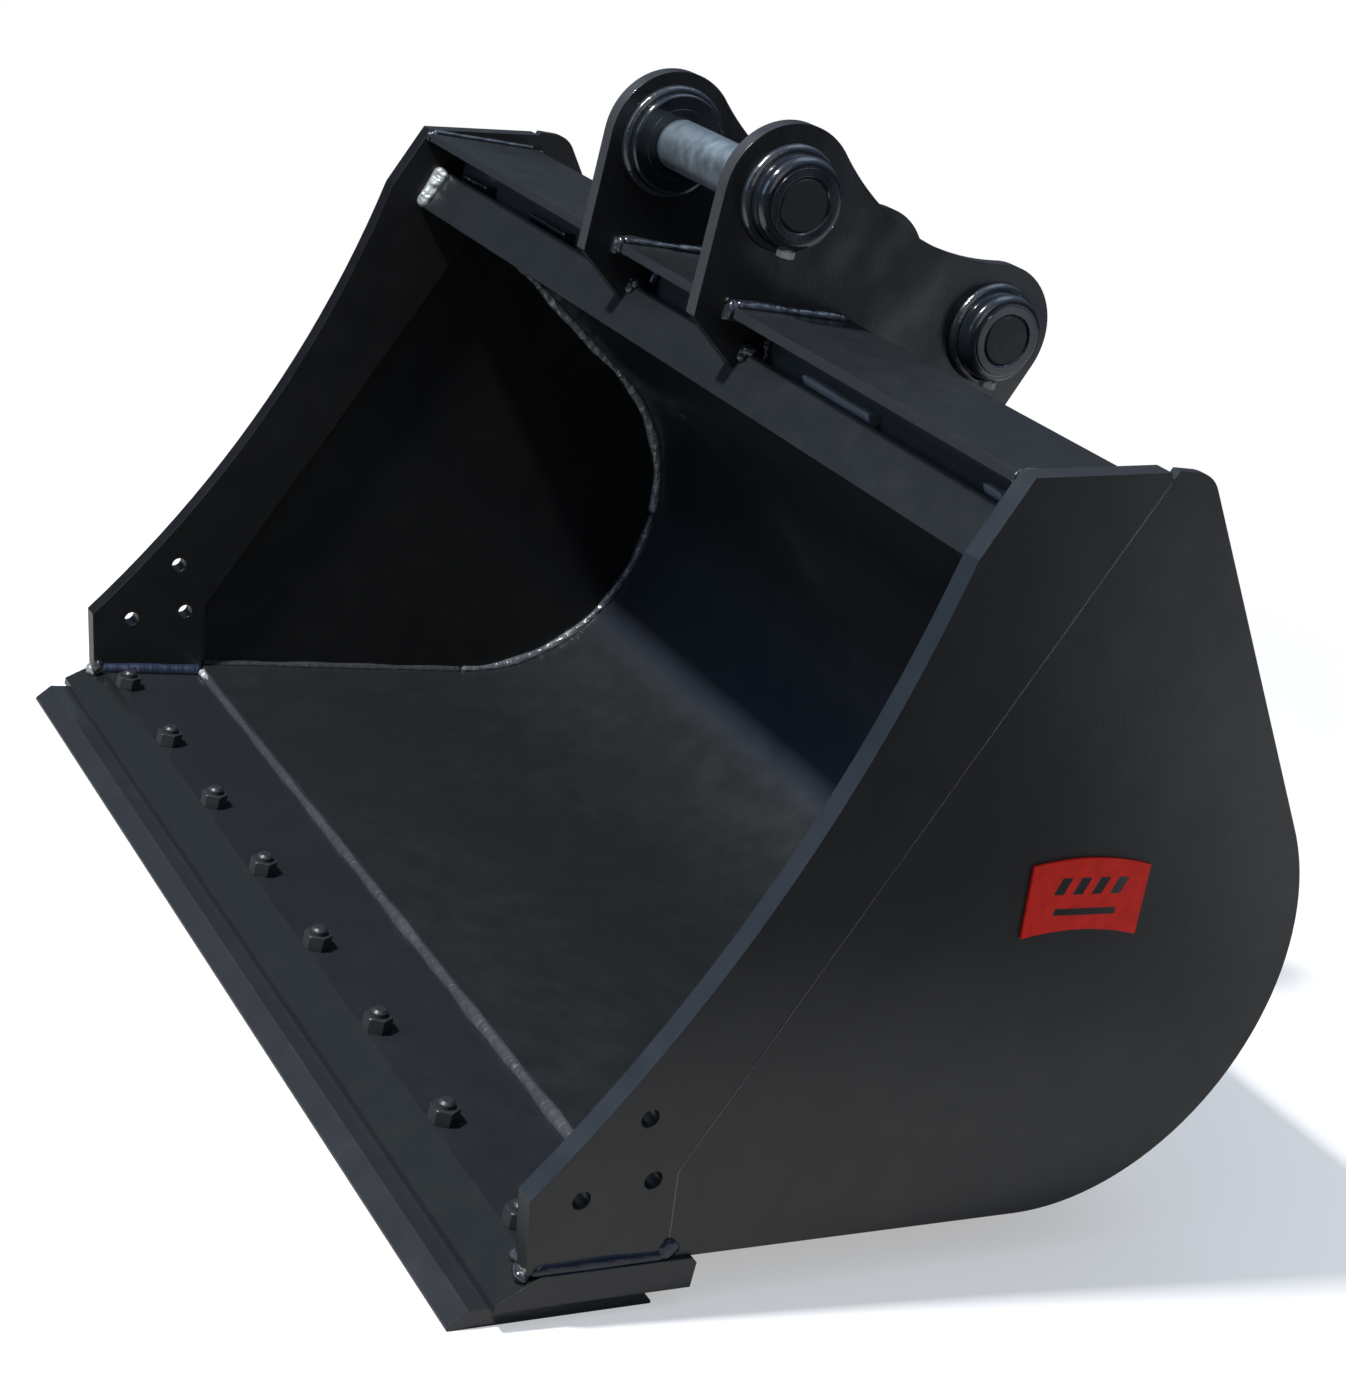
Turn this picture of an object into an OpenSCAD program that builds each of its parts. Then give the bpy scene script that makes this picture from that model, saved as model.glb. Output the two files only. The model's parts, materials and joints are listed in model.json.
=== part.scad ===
// Excavator bucket for levelling and ditch cleaning: a wide rolled shell with a bolted-on
// cutting edge, a folded box beam along the top and two hinge ears that carry two pins.
// Millimetres. X runs along the width, the mouth faces -Y, +Z is up.
// The origin is under the middle of the bucket at the underside of the bolted-on edge.

/* [Body] */
// Width over the outer faces of the side plates
body_w = 1500; // [900:10:2200]
// Thickness of the rolled floor and back sheet
wrap_t = 10; // [6:1:20]
// Outside radius of the rolled back
wrap_r = 297; // [200:1:450]
// Thickness of the thin rear side panels
panel_t = 12; // [6:1:20]
// Thickness of the heavy side strips along the mouth
strip_t = 25; // [12:1:40]
// Corner radius at the back of the side panels
heel_r = 304; // [200:1:450]
// Radius of the hollow front edge of the side strips
mouth_r = 1650; // [1000:10:4000]

/* [Cutting edge] */
// Depth of the base edge from nose to rear end
base_d = 231; // [150:1:350]
// Thickness of the base edge
base_t = 36; // [20:1:60]
// How far the base edge stands out past each side plate
base_over = 5; // [0:1:20]
// Depth of the bolted-on edge between its two tips
edge_d = 236; // [150:1:350]
// Thickness of the bolted-on edge
edge_t = 22; // [12:1:40]
// Length of the bolted-on edge
edge_w = 1490; // [800:10:2200]
// Spacing of the edge bolts
bolt_pitch = 190; // [100:5:300]
// Radius of the edge bolts
bolt_r = 10; // [6:0.5:16]
// Width across the flats of the edge nuts
nut_af = 30; // [18:1:46]
// Height of the edge nuts
nut_h = 18; // [10:1:30]

/* [Top beam] */
// Thickness of the folded cover plate
cover_t = 12; // [6:1:25]
// Outside radius of the fold
fold_r = 18; // [14:1:60]
// Thickness of the upright web behind the lip
web_t = 10; // [6:1:20]
// Thickness of the lip bar
lip_t = 16; // [8:1:30]
// Height of the lip bar
lip_h = 64; // [30:1:120]

/* [Ears and pins] */
// Distance from the middle to the outer face of each ear
ear_x = 152; // [100:1:300]
// Thickness of each ear
ear_t = 20; // [10:1:40]
// Radius of the two heads of each ear
head_r = 89; // [60:1:140]
// Distance from the front pin back to the rear pin
pin_dy = 350; // [250:1:500]
// Distance from the front pin down to the rear pin
pin_dz = 128; // [0:1:250]
// Radius of both pins
pin_r = 32.5; // [20:0.5:50]
// Running clearance between pin and bush, on the radius
pin_gap = 0.05; // [0.01:0.01:0.1]
// Outside radius of the bushes
bush_r = 45; // [30:0.5:70]
// Outside radius of the hubs outside the ears
hub_r = 57; // [40:1:90]
// Radius of the hub collars between the ears
collar_r = 64; // [40:1:90]
// How far the hubs stand out of the ears
hub_out = 33; // [10:1:60]
// How far the collars stand in between the ears
hub_in = 18; // [5:1:40]
// Rounding of the hub rim
hub_round = 10; // [2:1:12]
// How far the bush stands out of the hub
bush_out = 2; // [0:0.5:5]
// Leg of the weld around each hub
weld_leg = 10; // [4:1:15]
// Depth of the shallow grooves that end the seat on each pin
relief = 1; // [0.5:0.5:3]

/* [Badge] */
// Thickness of the name plate
badge_t = 3; // [1:0.5:6]
// Radius of its bowed edges
badge_r = 372; // [200:1:800]

/* [Output] */
// Which sub-part to draw

/* [Hidden] */
$fn = 96;

eps = 400;
half_w = body_w / 2;
strip_in = half_w - strip_t;
panel_in = half_w - panel_t;

// side profile, as [back, up] from the lower front corner of the side strip
floor_z = -88;
nose_y = -12;
tip_y = -54;
corner_c = [0, 0];
corner_d = [18, floor_z];
kink_b = [325, 695];
top_a = [366, 784];
notch_m = [550, 803];
top_z = 805;
heel_c = [649, floor_z + heel_r];
rear_top = [607, 794];
seam_low = [184, floor_z];
seam_kink = [168, 18];
floor_front = 185;

// where the origin lies in that profile
mid_y = (tip_y + heel_c[0] + heel_r) / 2;
low_z = floor_z - base_t - edge_t;

function unit(a) = [cos(a), sin(a)];
function side(a) = [-sin(a), cos(a)];
// bearing of the line from p that touches the circle c, r on its left (s = 1) or right (s = -1)
function graze(p, c, r, s) = atan2(c[1] - p[1], c[0] - p[0]) + s * asin(r / norm(c - p));
function graze_len(p, c, r) = sqrt(pow(norm(c - p), 2) - r * r);
// crossing of two lines given by a point and a bearing
function cross2(p, a, q, b) = p + unit(a) * ((q - p) * side(b)) / (unit(a) * side(b));

// rear edge of the side panels
rear_a = graze(rear_top, heel_c, heel_r - 0.05, 1);
rear_touch = rear_top + graze_len(rear_top, heel_c, heel_r - 0.05) * unit(rear_a);
rear_corner = cross2([0, top_z], 0, rear_top, rear_a);
corner_r = 40;
corner_l = corner_r * tan(-rear_a / 2);
corner_m = [rear_corner[0] - corner_l, top_z - corner_r];

// centre of the hollow front edge
chord = kink_b - corner_c;
chord_a = atan2(chord[1], chord[0]);
mouth_c = chord / 2 + sqrt(mouth_r * mouth_r - pow(norm(chord) / 2, 2)) * side(chord_a);

// lip bar, leaning back like the upper end of the side strips
lip_e = [376, 670];
lip_a = 65.3;
lip_u = unit(lip_a);
lip_n = [sin(lip_a), -cos(lip_a)];
lip_top = lip_e + lip_h * lip_u;
lip_back = lip_top + lip_t * lip_n;

// rolled sheet: floor, bend and the straight run up to the lip bar
wrap_c = [628, floor_z + wrap_r];
run_end = lip_back - 2 * lip_u;
run_a = graze(run_end, wrap_c, wrap_r, 1);
run_n = side(run_a);
function run_z(y) = run_end[1] + (y - run_end[0]) * tan(run_a);

// folded cover plate
cover_z = 780;
cover_y = 366;
fold_p = [549, cover_z];
back_a = graze(fold_p, wrap_c, wrap_r + cover_t - 4, 1);
back_len = graze_len(fold_p, wrap_c, wrap_r + cover_t - 4);
fold_l = fold_r * tan(-back_a / 2);
fold_c = [fold_p[0] - fold_l, cover_z - fold_r];
back_start = fold_p + fold_l * unit(back_a);
back_end = fold_p + back_len * unit(back_a);
back_n = [sin(back_a), -cos(back_a)];
web_y = 432;

// pins
pin_f = [410, 916];
pin_b = pin_f + [pin_dy, -pin_dz];
spread = norm(pin_b - pin_f);
spread_a = atan2(pin_b[1] - pin_f[1], pin_b[0] - pin_f[0]);
saddle_r = 348;
saddle_h = sqrt(pow(saddle_r + head_r - 0.1, 2) - pow(spread / 2, 2));
saddle_c = (pin_f + pin_b) / 2 + saddle_h * side(spread_a);
ear_front = [pin_f[0] - head_r, 762];
ear_rear_a = 66.1;
ear_rear = pin_b + head_r * [sin(ear_rear_a), -cos(ear_rear_a)];
ear_heel = cross2(ear_rear, ear_rear_a, fold_p, back_a);
ear_toe = ear_front + 115 * unit(-39);

hub_end = ear_x + hub_out;
hub_start = ear_x - ear_t - hub_in;
pin_end = hub_end + bush_out;
lock_x = hub_end - 12;
lock_r = 6;

bolt_y = 50;
count = 8;

// straight-edged part of one side
module side_2d() {
  polygon([
    corner_d, [heel_c[0], floor_z], heel_c, rear_touch,
    rear_corner + corner_l * unit(rear_a), corner_m, [corner_m[0], top_z],
    [notch_m[0], top_z], notch_m, top_a, kink_b, corner_c
  ]);
}

// everything in front of the seam between strip and panel
module front_zone_2d() {
  polygon([
    [-eps, -eps], [seam_low[0], -eps], seam_low, seam_kink,
    seam_kink + 1000 * (notch_m - seam_kink) / norm(notch_m - seam_kink),
    [-eps, 1200]
  ]);
}

module wrap_2d() {
  translate([floor_front, floor_z]) square([wrap_c[0] - floor_front, wrap_t]);
  intersection() {
    difference() {
      translate(wrap_c) circle(r = wrap_r, $fn = 192);
      translate(wrap_c) circle(r = wrap_r - wrap_t, $fn = 192);
    }
    polygon([
      wrap_c, wrap_c + [0, -eps], wrap_c + [eps, -eps], wrap_c + [eps, eps],
      wrap_c + eps * [0.2, 1.4] * 1.2, wrap_c + 600 * run_n
    ]);
  }
  difference() {
    polygon([
      wrap_c + wrap_r * run_n, wrap_c + (wrap_r - wrap_t) * run_n,
      wrap_c + (wrap_r - wrap_t) * run_n - 420 * unit(run_a),
      wrap_c + wrap_r * run_n - 500 * unit(run_a)
    ]);
    polygon([
      lip_back - 200 * lip_u, lip_back + 100 * lip_u,
      lip_back + 100 * lip_u - 200 * lip_n, lip_back - 200 * lip_u - 200 * lip_n
    ]);
  }
}

module lip_2d() {
  polygon([lip_e, lip_top, lip_back, lip_back - lip_h * lip_u]);
}

module web_2d() {
  polygon([
    [web_y, run_z(web_y)], [web_y + web_t, run_z(web_y + web_t)],
    [web_y + web_t, cover_z - cover_t], [web_y, cover_z - cover_t]
  ]);
}

// everything under a skin lying d inside the outer face of the fold
module under_fold_2d(d) {
  translate(fold_c) circle(r = fold_r - d);
  polygon([
    [200, cover_z - d], [fold_c[0], cover_z - d], back_start + d * back_n,
    back_end + d * back_n, back_end + 300 * back_n, [200, 300]
  ]);
}

module cover_2d() {
  difference() {
    intersection() {
      under_fold_2d(0);
      polygon([
        [cover_y, 300], [cover_y, 900], back_end - 300 * back_n, back_end + 300 * back_n
      ]);
    }
    under_fold_2d(cover_t);
    translate(wrap_c) circle(r = wrap_r, $fn = 192);
  }
}

// what the ears stand on: the beam with its overhang, the sheet and the lip bar
module seat_2d() {
  translate(fold_c) circle(r = fold_r);
  polygon([
    [cover_y, cover_z - cover_t], [cover_y, cover_z], [fold_c[0], cover_z], fold_c,
    back_start, back_end, [web_y, floor_z], [web_y, cover_z - cover_t]
  ]);
  polygon([
    lip_e - 100 * lip_u, lip_top, lip_back, run_end, [web_y + 1, run_z(web_y + 1)],
    [web_y + 1, 400]
  ]);
}

module ear_2d() {
  difference() {
    polygon([
      ear_front, [ear_front[0], pin_f[1]], pin_f, saddle_c, pin_b,
      ear_rear, ear_heel, [650, 500], [web_y + 5, 660], ear_toe
    ]);
    translate(saddle_c) circle(r = saddle_r, $fn = 360);
    seat_2d();
  }
}

module place() {
  translate([0, -mid_y, -low_z]) children();
}

module slab(x0, x1) {
  translate([x0, 0, 0])
    rotate([90, 0, 90])
      linear_extrude(height = x1 - x0) children();
}

// turned shapes stand on a pin axis and grow towards +X
module turned(p, x0, s) {
  translate([x0, p[0], p[1]])
    rotate([0, 90 * s, 0]) children();
}

module shell_wrap() {
  color("#2f3338") place() {
    slab(-strip_in, strip_in) wrap_2d();
    slab(-panel_in, panel_in) difference() {
      wrap_2d();
      front_zone_2d();
    }
  }
}

module edge_rows() {
  for (i = [0 : count - 1])
    translate([(i - (count - 1) / 2) * bolt_pitch, bolt_y, 0]) children();
}

module base_edge() {
  color("#33373c") place() difference() {
    slab(-half_w - base_over, half_w + base_over) difference() {
      polygon([
        [nose_y, floor_z - base_t], [nose_y, floor_z - base_t + 9], [34, floor_z],
        [nose_y + base_d - 6, floor_z], [nose_y + base_d, floor_z - 6],
        [nose_y + base_d, floor_z - base_t]
      ]);
    }
    edge_rows() translate([0, 0, floor_z - base_t - 1]) cylinder(r = bolt_r + 0.5, h = base_t + 2);
  }
}

module cutting_edge() {
  color("#363b41") place() difference() {
    slab(-edge_w / 2, edge_w / 2) polygon([
      [tip_y, low_z], [tip_y, low_z + 3], [tip_y + edge_t - 3, low_z + edge_t],
      [tip_y + edge_d - edge_t + 3, low_z + edge_t], [tip_y + edge_d, low_z + 3],
      [tip_y + edge_d, low_z]
    ]);
    edge_rows() translate([0, 0, low_z - 1]) cylinder(r = bolt_r + 0.5, h = edge_t + 2);
    edge_rows() translate([0, 0, low_z - 1]) cylinder(r = 17.5, h = 3);
    edge_rows() translate([0, 0, low_z + 2]) cylinder(r1 = 17.5, r2 = bolt_r + 0.5, h = 8);
  }
}

module edge_bolts() {
  color("#2b2e33") place() edge_rows() {
    translate([0, 0, low_z]) cylinder(r = 17.5, h = 2);
    translate([0, 0, low_z + 2]) cylinder(r1 = 17.5, r2 = bolt_r, h = 8.5);
    translate([0, 0, low_z + 5]) cylinder(r = bolt_r, h = floor_z + nut_h + 5 - low_z - 5);
    translate([0, 0, floor_z + nut_h + 5]) cylinder(r1 = bolt_r, r2 = bolt_r - 3, h = 3);
  }
}

module edge_nuts() {
  color("#24272b") place() edge_rows() translate([0, 0, floor_z]) difference() {
    intersection() {
      cylinder(r = nut_af / sqrt(3), h = nut_h, $fn = 6);
      cylinder(r1 = nut_af / 2 + 1 + nut_h, r2 = nut_af / 2 + 1, h = nut_h);
    }
    translate([0, 0, -1]) cylinder(r = bolt_r, h = nut_h + 2);
  }
}

module panel(x0) {
  place() difference() {
    union() {
      slab(x0, x0 + panel_t) side_2d();
      turned(heel_c, x0, 1) cylinder(r = heel_r, h = panel_t, $fn = 192);
      turned(corner_m, x0, 1) cylinder(r = corner_r, h = panel_t);
    }
    slab(x0 - 1, x0 + panel_t + 1) front_zone_2d();
  }
}

module strip(x0) {
  place() slab(x0, x0 + strip_t) difference() {
    intersection() {
      side_2d();
      front_zone_2d();
    }
    translate(mouth_c) circle(r = mouth_r, $fn = 720);
    translate(notch_m) circle(r = 9);
    translate([116, 84]) circle(r = 10.5);
    translate([140, 10]) circle(r = 10.5);
    translate([60, -5]) circle(r = 10.5);
  }
}

module side_panel_right() { color("#2d3136") panel(panel_in); }
module side_panel_left() { color("#2d3136") panel(-half_w); }
module side_strip_right() { color("#33383e") strip(strip_in); }
module side_strip_left() { color("#33383e") strip(-half_w); }

module lip_bar() { color("#3a3f45") place() slab(-strip_in, strip_in) lip_2d(); }
module beam_web() { color("#2c3035") place() slab(-strip_in, strip_in) web_2d(); }

module beam_cover() {
  color("#30343a") place() {
    slab(-strip_in, strip_in) cover_2d();
    slab(-panel_in, panel_in) difference() {
      cover_2d();
      front_zone_2d();
    }
  }
}

// one ear plate between x0 and x0 + ear_t with round heads and hub holes
module ear(x0) {
  color("#2f3439") place() difference() {
    union() {
      slab(x0, x0 + ear_t) ear_2d();
      turned(pin_f, x0, 1) cylinder(r = head_r, h = ear_t);
      turned(pin_b, x0, 1) cylinder(r = head_r, h = ear_t);
    }
    turned(pin_f, x0 - 1, 1) cylinder(r = hub_r, h = ear_t + 2);
    turned(pin_b, x0 - 1, 1) cylinder(r = hub_r, h = ear_t + 2);
  }
}

module ear_right() { ear(ear_x - ear_t); }
module ear_left() { ear(-ear_x); }

// one hub, drawn outwards from the inner end of its collar
module hub(p, s) {
  total = hub_end - hub_start;
  color("#2a2d32") place() turned(p, s * hub_start, s) difference() {
    rotate_extrude() {
      square([collar_r - 4, hub_in]);
      translate([0, 4]) square([collar_r, hub_in - 4]);
      translate([collar_r - 4, 4]) circle(r = 4, $fn = 48);
      square([hub_r - hub_round, total]);
      square([hub_r, total - hub_round]);
      translate([hub_r - hub_round, total - hub_round]) circle(r = hub_round, $fn = 64);
    }
    translate([0, 0, -1]) cylinder(r = bush_r, h = total + 2);
    if (s > 0) lock_hole(hub_start);
  }
}

module lock_hole(x0) {
  translate([0, 0, lock_x - x0]) rotate([0, 90, 0]) cylinder(r = lock_r, h = hub_r + 20, $fn = 48);
}

module bush(p, s) {
  total = pin_end - hub_start;
  color("#3b3f45") place() turned(p, s * hub_start, s) difference() {
    cylinder(r = bush_r, h = total);
    translate([0, 0, -1]) cylinder(r = pin_r + pin_gap, h = total + 2);
    translate([0, 0, total - 2]) cylinder(r1 = pin_r + pin_gap, r2 = pin_r + 3, h = 2.5);
    if (s > 0) lock_hole(hub_start);
  }
}

module hub_front_right() { hub(pin_f, 1); }
module hub_front_left() { hub(pin_f, -1); }
module hub_rear_right() { hub(pin_b, 1); }
module hub_rear_left() { hub(pin_b, -1); }
module bush_front_right() { bush(pin_f, 1); }
module bush_front_left() { bush(pin_f, -1); }
module bush_rear_right() { bush(pin_b, 1); }
module bush_rear_left() { bush(pin_b, -1); }

module ring_weld(p, x0, s, r, leg) {
  turned(p, x0, s) difference() {
    cylinder(r1 = r + leg, r2 = r, h = leg);
    translate([0, 0, -1]) cylinder(r = r, h = leg + 2);
  }
}

module hub_welds() {
  color("#26292d") place() for (p = [pin_f, pin_b]) for (s = [-1, 1]) {
    ring_weld(p, s * ear_x, s, hub_r, weld_leg);
    ring_weld(p, s * (ear_x - ear_t), -s, collar_r, weld_leg);
  }
}

// plain pin with a turned seat between two shallow grooves
module pin(p) {
  seat = hub_start - 4;
  color("#8d9298") place() turned(p, -pin_end, 1) difference() {
    union() {
      cylinder(r1 = pin_r - 2, r2 = pin_r, h = 2);
      translate([0, 0, 2]) cylinder(r = pin_r, h = 2 * pin_end - 4);
      translate([0, 0, 2 * pin_end - 2]) cylinder(r1 = pin_r, r2 = pin_r - 2, h = 2);
    }
    groove(pin_end - seat - 3);
    groove(pin_end + seat);
  }
}

module groove(z0) {
  translate([0, 0, z0]) difference() {
    cylinder(r = pin_r + 5, h = 3);
    translate([0, 0, -1]) cylinder(r = pin_r - relief, h = 5);
  }
}

module front_pin() { pin(pin_f); }
module rear_pin() { pin(pin_b); }

module pin_lock_bolts() {
  color("#55595f") place() for (p = [pin_f, pin_b])
    translate([lock_x, p[0], p[1]]) rotate([180, 0, 0]) {
      translate([0, 0, pin_r + 0.6]) cylinder(r = lock_r, h = hub_r + 1 - pin_r - 0.6, $fn = 48);
      translate([0, 0, hub_r + 1]) cylinder(r = 19 / sqrt(3), h = 8, $fn = 6);
    }
}

module badge_2d() {
  difference() {
    intersection() {
      polygon([[518, 354], [516, 400], [687, 400], [685, 357], [693, 275], [693, 240], [532, 240], [530, 266]]);
      translate([601, 365 - badge_r]) circle(r = badge_r, $fn = 240);
    }
    translate([611, 279 - badge_r]) circle(r = badge_r, $fn = 240);
  }
}

module badge() { color("#c8281e") place() slab(half_w, half_w + badge_t) badge_2d(); }

module badge_rivets() {
  color("#8b1c15") place() for (q = [[532, 342], [542, 283]])
    translate([half_w + badge_t, q[0], q[1]]) rotate([0, 90, 0]) cylinder(r1 = 4, r2 = 2.5, h = 2, $fn = 32);
}

shell_wrap();
base_edge();
cutting_edge();
edge_bolts();
edge_nuts();
side_panel_right();
side_panel_left();
side_strip_right();
side_strip_left();
lip_bar();
beam_web();
beam_cover();
ear_right();
ear_left();
hub_front_right();
hub_front_left();
hub_rear_right();
hub_rear_left();
bush_front_right();
bush_front_left();
bush_rear_right();
bush_rear_left();
hub_welds();
front_pin();
rear_pin();
pin_lock_bolts();
badge();
badge_rivets();
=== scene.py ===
import math
import json
import bpy
import numpy as np
from mathutils import Matrix, Vector


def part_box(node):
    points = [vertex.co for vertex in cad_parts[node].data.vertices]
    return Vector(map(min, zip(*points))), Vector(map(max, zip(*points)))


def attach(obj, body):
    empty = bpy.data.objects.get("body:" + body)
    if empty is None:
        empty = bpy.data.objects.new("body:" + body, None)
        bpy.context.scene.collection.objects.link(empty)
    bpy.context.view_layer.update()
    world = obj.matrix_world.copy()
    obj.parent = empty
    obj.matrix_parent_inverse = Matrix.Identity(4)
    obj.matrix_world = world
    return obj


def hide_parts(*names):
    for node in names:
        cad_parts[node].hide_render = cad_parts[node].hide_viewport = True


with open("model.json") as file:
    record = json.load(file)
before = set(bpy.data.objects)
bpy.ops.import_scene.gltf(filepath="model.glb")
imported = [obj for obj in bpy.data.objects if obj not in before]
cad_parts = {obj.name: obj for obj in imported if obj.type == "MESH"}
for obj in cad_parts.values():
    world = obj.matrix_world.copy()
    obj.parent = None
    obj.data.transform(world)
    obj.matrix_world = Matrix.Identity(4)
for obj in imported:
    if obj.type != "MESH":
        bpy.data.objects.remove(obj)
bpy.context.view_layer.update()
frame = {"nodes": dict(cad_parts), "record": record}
R = math.radians
TAU = 2 * math.pi

# ---------------------------------------------------------------- places
# Lengths are millimetres in the side-profile frame: x to the right, y to the rear and z up. Its
# zero is the corner of the strip's front edge, 88 mm above the strip's foot.
BASE_TOP = -88.0                        # top of the base edge, where the side strips stand
strip_lo, strip_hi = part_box("side_strip_right")
Y0 = strip_lo.y
Z0 = strip_lo.z - BASE_TOP / 1000
HALF = strip_hi.x * 1000                # outer, then inner faces of the sides
STRIP_IN = HALF - 25
PANEL_IN = HALF - 12


def q(x, y, z):
    """A point of the profile frame in metres in the frame of the CAD part."""
    return Vector((x / 1000, Y0 + y / 1000, Z0 + z / 1000))


def unit2(a):
    return np.array([math.cos(R(a)), math.sin(R(a))])


FLOOR = -78.0                           # top of the floor sheet
WRAP_C = np.array([628.0, 209.0])       # centre of the rolled heel
WRAP_IN, WRAP_OUT = 287.0, 297.0        # radii of the rolled sheet
LIP_SLOPE = 65.3
LIP_UP = unit2(LIP_SLOPE)               # up along the lip bar
LIP_REAR = np.array([math.sin(R(LIP_SLOPE)), -math.cos(R(LIP_SLOPE))])  # from its face to its back
LIP_TOP = np.array([376.0, 670.0]) + 64 * LIP_UP
LIP_BACK = LIP_TOP + 16 * LIP_REAR
RUN_END = LIP_BACK - 2 * LIP_UP         # where the back sheet ends behind the lip bar


def graze(p, c, r):
    """Direction in degrees of the line from p that touches the circle of radius r about c."""
    d = c - p
    return math.degrees(math.atan2(d[1], d[0]) + math.asin(r / np.linalg.norm(d)))


RUN_A = graze(RUN_END, WRAP_C, WRAP_OUT)
RUN_U = unit2(RUN_A)                    # down along the back sheet
RUN_N = np.array([-RUN_U[1], RUN_U[0]])
FOLD = np.array([549.0, 780.0])         # the bend of the cover plate
BACK_A = graze(FOLD, WRAP_C, 305.0)
BACK_U = unit2(BACK_A)                  # down along the cover's rear leg
BACK_N = np.array([-BACK_U[1], BACK_U[0]])
PIN_F = np.array([410.0, 916.0])
PIN_B = np.array([760.0, 788.0])
EAR_OUT, EAR_IN = 152.0, 132.0          # the two faces of each ear

# ---------------------------------------------------------------- materials


def nodes_of(name):
    m = bpy.data.materials.new(name)
    m.use_nodes = True
    nt = m.node_tree
    nt.nodes.clear()
    out = nt.nodes.new("ShaderNodeOutputMaterial")
    b = nt.nodes.new("ShaderNodeBsdfPrincipled")
    nt.links.new(b.outputs[0], out.inputs[0])
    return m, nt, b


def noise(nt, vec, scale, detail=4.0, rough=0.55):
    n = nt.nodes.new("ShaderNodeTexNoise")
    n.inputs["Scale"].default_value = scale
    n.inputs["Detail"].default_value = detail
    n.inputs["Roughness"].default_value = rough
    nt.links.new(vec, n.inputs["Vector"])
    return n.outputs["Fac"]


def ramp(nt, fac, a, b, ca=0.0, cb=1.0):
    n = nt.nodes.new("ShaderNodeMapRange")
    n.inputs["From Min"].default_value = a
    n.inputs["From Max"].default_value = b
    n.inputs["To Min"].default_value = ca
    n.inputs["To Max"].default_value = cb
    nt.links.new(fac, n.inputs["Value"])
    return n.outputs["Result"]


def mixc(nt, fac, a, b):
    n = nt.nodes.new("ShaderNodeMix")
    n.data_type = "RGBA"
    for k, v in (("A", a), ("B", b)):
        s = [i for i in n.inputs if i.name == k and i.type == "RGBA"][0]
        if isinstance(v, tuple):
            s.default_value = (*v, 1.0)
        else:
            nt.links.new(v, s)
    f = n.inputs["Factor"]
    if isinstance(fac, float):
        f.default_value = fac
    else:
        nt.links.new(fac, f)
    return [o for o in n.outputs if o.type == "RGBA"][0]


def math_node(nt, op, a, b):
    n = nt.nodes.new("ShaderNodeMath")
    n.operation = op
    for k, v in enumerate((a, b)):
        if isinstance(v, (int, float)):
            n.inputs[k].default_value = v
        else:
            nt.links.new(v, n.inputs[k])
    return n.outputs[0]


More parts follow.
